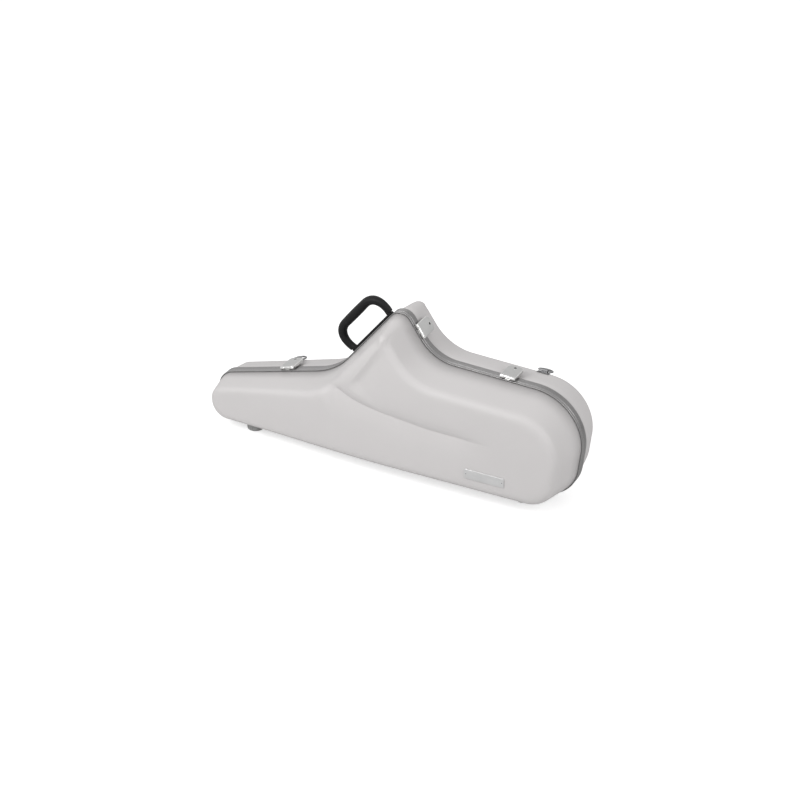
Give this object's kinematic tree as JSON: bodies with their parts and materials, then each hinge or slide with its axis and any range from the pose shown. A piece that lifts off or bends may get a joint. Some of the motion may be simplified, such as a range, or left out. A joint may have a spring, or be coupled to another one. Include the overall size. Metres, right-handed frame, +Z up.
{
  "type": "tenor saxophone case",
  "caption": "Moulded tenor saxophone case with rounded half shells, metal rails, swinging latches, a carrying handle, strap rings and a hinged lid over padded linings.",
  "frame": {"origin": "centre of the footprint, on the floor under the feet", "axes": "+X towards the bow end, +Y towards the back of the base half, so that the lid is at -Y, +Z up"},
  "size_m": [0.9435, 0.228, 0.406],
  "materials": {
    "black_grip": "satin",
    "brushed_aluminium": "brushed",
    "grey_rubber": "matte",
    "lining_cloth": "matte",
    "nickel": "satin",
    "plate_metal": "satin",
    "satin_white": "satin",
    "seal_rubber": "matte",
    "steel": "satin"
  },
  "bodies": {
    "base": {"rear_shell": "satin_white", "rear_rail": "brushed_aluminium", "seal": "seal_rubber", "base_lining": "lining_cloth", "foot_rear_neck": "grey_rubber", "foot_rear_bow": "grey_rubber", "handle_base": "black_grip", "handle_elbow_lower": "black_grip", "handle_elbow_upper": "black_grip", "handle_grip": "black_grip", "strap_bracket_neck": "steel", "strap_bracket_bow": "steel", "hinge_base_leaf_1": "steel", "hinge_base_leaf_2": "steel", "hinge_base_leaf_3": "steel", "hinge_pin_1": "steel", "hinge_pin_2": "steel", "hinge_pin_3": "steel", "latch_keeper_neck": "nickel", "latch_keeper_hump": "nickel", "latch_keeper_top": "nickel"},
    "lid": {"front_shell": "satin_white", "front_rail": "brushed_aluminium", "lid_lining": "lining_cloth", "badge_plate": "plate_metal", "foot_front_neck": "grey_rubber", "foot_front_bow": "grey_rubber", "hinge_lid_leaf_1": "steel", "hinge_lid_leaf_2": "steel", "hinge_lid_leaf_3": "steel", "latch_bracket_neck": "nickel", "latch_bracket_hump": "nickel", "latch_bracket_top": "nickel", "latch_pin_neck": "steel", "latch_pin_hump": "steel", "latch_pin_top": "steel"},
    "latch_neck": {"latch_lever_neck": "nickel"},
    "latch_hump": {"latch_lever_hump": "nickel"},
    "latch_top": {"latch_lever_top": "nickel"},
    "ring_neck": {"strap_ring_neck": "steel"},
    "ring_bow": {"strap_ring_bow": "steel"}
  },
  "joints": [
    {"name": "lid_hinge", "type": "hinge", "parent": "base", "child": "lid", "pos_m": [0, 0, 0.0103], "axis": [1, 0, 0], "range_deg": [0, 105]},
    {"name": "latch_neck_pivot", "type": "hinge", "parent": "lid", "child": "latch_neck", "pos_m": [-0.2815, -0.0031, 0.16974], "axis": [0.9678, 0, 0.2516], "range_deg": [0, 100]},
    {"name": "latch_hump_pivot", "type": "hinge", "parent": "lid", "child": "latch_hump", "pos_m": [0.06829, -0.0031, 0.3501], "axis": [0.5612, 0, -0.8277], "range_deg": [0, 100]},
    {"name": "latch_top_pivot", "type": "hinge", "parent": "lid", "child": "latch_top", "pos_m": [0.28529, -0.0031, 0.28586], "axis": [0.999, 0, -0.0457], "range_deg": [0, 100]},
    {"name": "ring_neck_swing", "type": "hinge", "parent": "base", "child": "ring_neck", "pos_m": [-0.29302, 0.06913, 0.1559], "axis": [0.9678, 0, 0.2516], "range_deg": [0, 150]},
    {"name": "ring_bow_swing", "type": "hinge", "parent": "base", "child": "ring_bow", "pos_m": [0.33266, 0.09637, 0.2667], "axis": [0.999, 0, -0.0457], "range_deg": [0, 150]}
  ]
}
